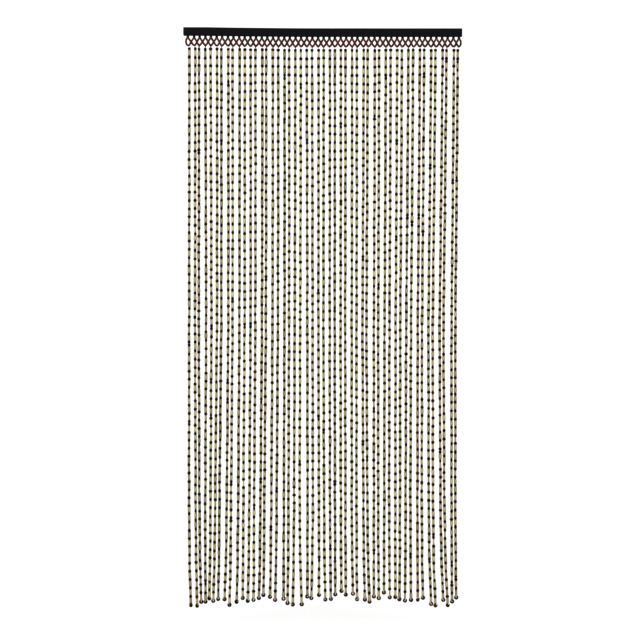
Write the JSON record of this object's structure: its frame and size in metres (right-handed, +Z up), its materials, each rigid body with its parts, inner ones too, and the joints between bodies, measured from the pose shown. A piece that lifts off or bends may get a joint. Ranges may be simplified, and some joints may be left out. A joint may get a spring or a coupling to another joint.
{
  "type": "bead curtain with rail",
  "caption": "Doorway curtain of hanging bead strands: a dark wooden rail, a beaded diamond lattice below it, long strands of dark beads and pale tubes, and a bored bead at each foot",
  "frame": {"origin": "middle of the rail's back face, which goes against the wall or door frame", "axes": "+Z up along the strands, +X right along the rail, and +Y backwards into the wall; the curtain is looked at along +Y"},
  "size_m": [0.9, 0.015, 1.8711],
  "materials": {
    "rail_black_wood": "black painted wood, satin",
    "strand_beads": "natural bamboo tubes and dark stained wooden beads"
  },
  "bodies": {
    "root": {"rail": "rail_black_wood", "bead_strands": "strand_beads"}
  },
  "joints": []
}
